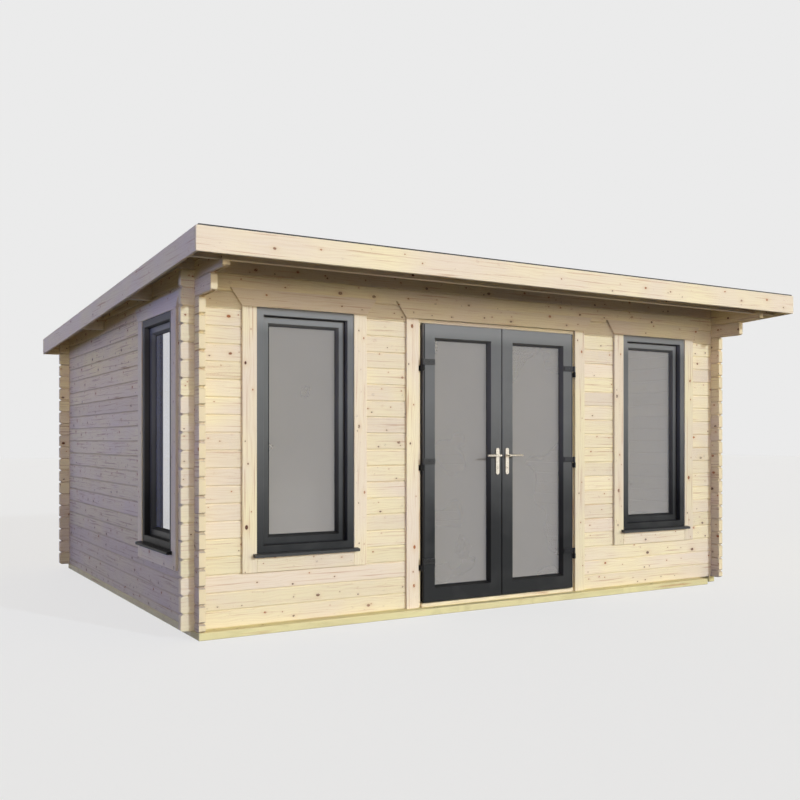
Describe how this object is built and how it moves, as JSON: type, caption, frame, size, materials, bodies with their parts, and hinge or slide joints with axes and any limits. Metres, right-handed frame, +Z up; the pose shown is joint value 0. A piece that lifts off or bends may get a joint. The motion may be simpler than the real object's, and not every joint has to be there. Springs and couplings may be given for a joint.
{
  "type": "garden log cabin",
  "caption": "Timber garden log cabin with interlocking log walls, a low single-pitch roof with a deep front overhang, glazed double doors with lever handles, and tall casement windows.",
  "frame": {"origin": "on the ground, under the middle of the roof's plan", "axes": "+X to the right along the front wall as seen from the front, +Y from the doors to the back wall, +Z up"},
  "size_m": [5.172, 4.637, 2.4728],
  "materials": {
    "pine": "planed, untreated",
    "bearer_timber": "sawn, pressure treated",
    "felt": "mineral felt",
    "frame_plastic": "anthracite, fine grain",
    "glazing": "clear",
    "hinge_metal": "satin black",
    "handle_metal": "satin chrome"
  },
  "bodies": {
    "cabin": {"front_bearer": "bearer_timber", "back_bearer": "bearer_timber", "left_bearer": "bearer_timber", "right_bearer": "bearer_timber", "floor_joists": "bearer_timber", "floor_boards": "pine", "front_wall_odd_logs": "pine", "front_wall_even_logs": "pine", "back_wall_odd_logs": "pine", "back_wall_even_logs": "pine", "left_wall_odd_logs": "pine", "left_wall_even_logs": "pine", "right_wall_odd_logs": "pine", "right_wall_even_logs": "pine", "roof_purlins": "pine", "roof_boards": "pine", "roof_felt": "felt", "front_fascia": "pine", "back_fascia": "pine", "left_fascia": "pine", "right_fascia": "pine", "left_window_frame": "frame_plastic", "left_window_sash": "frame_plastic", "left_window_glass": "glazing", "left_window_sill": "frame_plastic", "left_window_trim": "pine", "right_window_frame": "frame_plastic", "right_window_sash": "frame_plastic", "right_window_glass": "glazing", "right_window_sill": "frame_plastic", "right_window_trim": "pine", "side_window_frame": "frame_plastic", "side_window_sash": "frame_plastic", "side_window_glass": "glazing", "side_window_sill": "frame_plastic", "side_window_trim": "pine", "door_frame": "pine", "door_threshold": "pine", "door_trim": "pine", "door_hinge_posts": "hinge_metal"},
    "left_door": {"left_door_leaf": "frame_plastic", "left_door_glass": "glazing", "left_door_hinges": "hinge_metal", "left_door_plates": "handle_metal"},
    "left_handle": {"left_door_lever": "handle_metal"},
    "right_door": {"right_door_leaf": "frame_plastic", "right_door_glass": "glazing", "right_door_hinges": "hinge_metal", "right_door_plates": "handle_metal"},
    "right_handle": {"right_door_lever": "handle_metal"}
  },
  "joints": [
    {"name": "left_door_swing", "type": "hinge", "parent": "cabin", "child": "left_door", "pos_m": [-0.697, -1.705, 1], "axis": [0, 0, -1], "range_deg": [0, 105]},
    {"name": "right_door_swing", "type": "hinge", "parent": "cabin", "child": "right_door", "pos_m": [0.717, -1.705, 1], "axis": [0, 0, 1], "range_deg": [0, 105]},
    {"name": "left_lever_turn", "type": "hinge", "parent": "left_door", "child": "left_handle", "pos_m": [-0.035, -1.7155, 1.139], "axis": [0, -1, 0], "range_deg": [0, 45], "stiffness_Nm_per_rad": 1.5, "springref_deg": -28.65},
    {"name": "right_lever_turn", "type": "hinge", "parent": "right_door", "child": "right_handle", "pos_m": [0.055, -1.7155, 1.139], "axis": [0, 1, 0], "range_deg": [0, 45], "stiffness_Nm_per_rad": 1.5, "springref_deg": -28.65}
  ]
}
